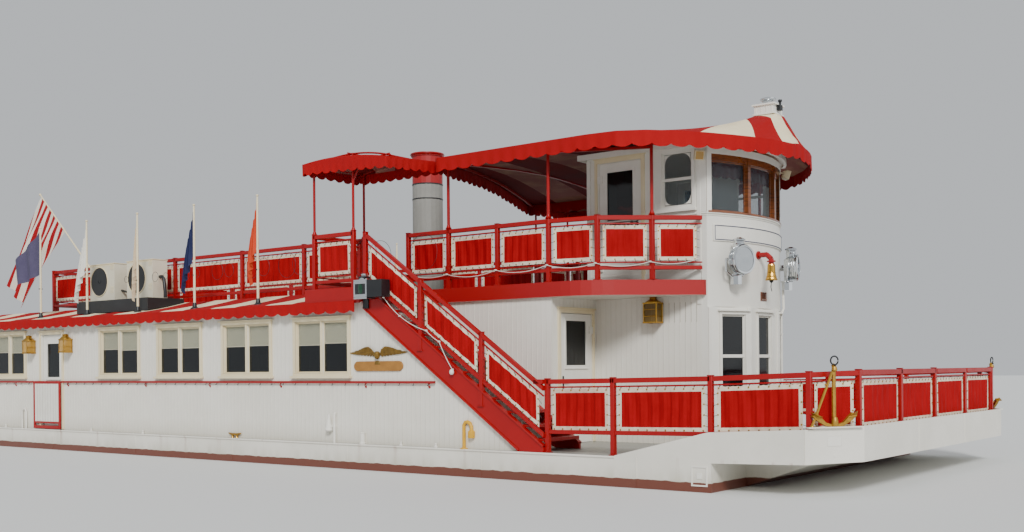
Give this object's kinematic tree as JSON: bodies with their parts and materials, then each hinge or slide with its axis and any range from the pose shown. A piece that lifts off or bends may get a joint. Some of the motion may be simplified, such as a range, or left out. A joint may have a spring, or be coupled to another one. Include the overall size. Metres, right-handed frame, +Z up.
{
  "type": "stern-wheel paddle steamer",
  "caption": "River excursion boat with a scow hull, long cabin, open upper deck with striped awnings, pilothouse tower at the bow and turning stern paddle wheels.",
  "frame": {"origin": "on the waterline and the centreline, 12 m aft of the bow plate", "axes": "+X forward to the bow, +Y to port, +Z up"},
  "size_m": [25.15, 8.3206, 6.84],
  "materials": {
    "white_paint": "satin marine paint, weathered",
    "red_paint": "gloss red enamel",
    "striped_canvas": "red and cream striped awning canvas",
    "varnished_wood": "varnished",
    "grey_metal": "grey paint",
    "brass": "polished brass and gold paint",
    "chrome": "polished",
    "black_metal": "black paint"
  },
  "bodies": {
    "boat": {"anchor_port": "brass", "anchor_starboard": "brass", "bell": "brass", "cabin_wall_aft": "white_paint", "cabin_wall_port": "white_paint", "cabin_wall_starboard": "white_paint", "canopy_frame": "red_paint", "canopy_landing_port": "striped_canvas", "canopy_landing_starboard": "striped_canvas", "canopy_main": "striped_canvas", "condensers": "grey_metal", "cupola": "white_paint", "engine": "grey_metal", "front_wall_port": "white_paint", "front_wall_starboard": "white_paint", "funnel": "grey_metal", "hull": "white_paint", "landing_port": "red_paint", "landing_starboard": "red_paint", "pilothouse_roof": "white_paint", "pilothouse_walls": "white_paint", "pilothouse_window_band": "varnished_wood", "rail_bow_port": "red_paint", "rail_bow_starboard": "red_paint", "rail_front": "red_paint", "rail_upper_aft_port": "red_paint", "rail_upper_aft_starboard": "red_paint", "rail_upper_fore_port": "red_paint", "rail_upper_fore_starboard": "red_paint", "rail_upper_stern": "red_paint", "searchlight_port": "chrome", "searchlight_starboard": "chrome", "side_roof_port": "striped_canvas", "side_roof_starboard": "striped_canvas", "sidelight_port": "black_metal", "sidelight_starboard": "black_metal", "stair_port": "red_paint", "stair_starboard": "red_paint", "tower_bay": "white_paint", "tower_skirt": "white_paint", "upper_deck": "red_paint", "wheel_frame": "red_paint"},
    "wheel_starboard": {"paddle_wheel_starboard": "red_paint", "wheel_shaft_starboard": "grey_metal"},
    "wheel_port": {"paddle_wheel_port": "red_paint", "wheel_shaft_port": "grey_metal"},
    "rudder_starboard": {"rudder_starboard": "black_metal"},
    "rudder_port": {"rudder_port": "black_metal"},
    "side_door_starboard": {"side_door_starboard": "white_paint"},
    "side_door_port": {"side_door_port": "white_paint"},
    "front_door_starboard": {"front_door_starboard": "white_paint"},
    "front_door_port": {"front_door_port": "white_paint"},
    "pilot_door_starboard": {"pilot_door_starboard": "white_paint"},
    "pilot_door_port": {"pilot_door_port": "white_paint"},
    "side_gate_starboard": {"side_gate_starboard": "red_paint"},
    "side_gate_port": {"side_gate_port": "red_paint"},
    "bow_gate_inner": {"bow_gate_inner": "red_paint"},
    "bow_gate_outer": {"bow_gate_outer": "red_paint"}
  },
  "joints": [
    {"name": "wheel_spin_starboard", "type": "hinge", "parent": "boat", "child": "wheel_starboard", "pos_m": [-11.7, -1.9, 1], "axis": [0, 1, 0], "continuous": true},
    {"name": "wheel_spin_port", "type": "hinge", "parent": "boat", "child": "wheel_port", "pos_m": [-11.7, 1.9, 1], "axis": [0, 1, 0], "continuous": true},
    {"name": "rudder_turn_starboard", "type": "hinge", "parent": "boat", "child": "rudder_starboard", "pos_m": [-9.2, -1.9, -0.5], "axis": [0, 0, 1], "range_deg": [-35, 35]},
    {"name": "rudder_turn_port", "type": "hinge", "parent": "boat", "child": "rudder_port", "pos_m": [-9.2, 1.9, -0.5], "axis": [0, 0, 1], "range_deg": [-35, 35]},
    {"name": "side_door_swing_starboard", "type": "hinge", "parent": "boat", "child": "side_door_starboard", "pos_m": [-6.155, -3.7876, 1.4], "axis": [0, 0, 1], "range_deg": [0, 90]},
    {"name": "front_door_swing_starboard", "type": "hinge", "parent": "boat", "child": "front_door_starboard", "pos_m": [6.7124, -1.485, 1.4], "axis": [0, 0, 1], "range_deg": [0, 90]},
    {"name": "pilot_door_swing_starboard", "type": "hinge", "parent": "boat", "child": "pilot_door_starboard", "pos_m": [6.775, -1.3624, 4], "axis": [0, 0, -1], "range_deg": [0, 90]},
    {"name": "side_gate_swing_starboard", "type": "hinge", "parent": "boat", "child": "side_gate_starboard", "pos_m": [-6.415, -3.8924, 0.9], "axis": [0, 0, -1], "range_deg": [0, 90]},
    {"name": "side_door_swing_port", "type": "hinge", "parent": "boat", "child": "side_door_port", "pos_m": [-6.155, 3.7876, 1.4], "axis": [0, 0, -1], "range_deg": [0, 90]},
    {"name": "front_door_swing_port", "type": "hinge", "parent": "boat", "child": "front_door_port", "pos_m": [6.7124, 1.485, 1.4], "axis": [0, 0, -1], "range_deg": [0, 90]},
    {"name": "pilot_door_swing_port", "type": "hinge", "parent": "boat", "child": "pilot_door_port", "pos_m": [6.775, 1.3624, 4], "axis": [0, 0, 1], "range_deg": [0, 90]},
    {"name": "side_gate_swing_port", "type": "hinge", "parent": "boat", "child": "side_gate_port", "pos_m": [-6.415, 3.8924, 0.9], "axis": [0, 0, 1], "range_deg": [0, 90]},
    {"name": "bow_gate_swing_inner", "type": "hinge", "parent": "boat", "child": "bow_gate_inner", "pos_m": [11.8226, 0.02, 1.2], "axis": [0, 0, 1], "range_deg": [0, 90]},
    {"name": "bow_gate_swing_outer", "type": "hinge", "parent": "boat", "child": "bow_gate_outer", "pos_m": [11.8226, 3.05, 1.2], "axis": [0, 0, -1], "range_deg": [0, 90]}
  ],
  "couplings": [
    {"joint": "rudder_turn_port", "follows": "rudder_turn_starboard", "ratio": 1}
  ]
}
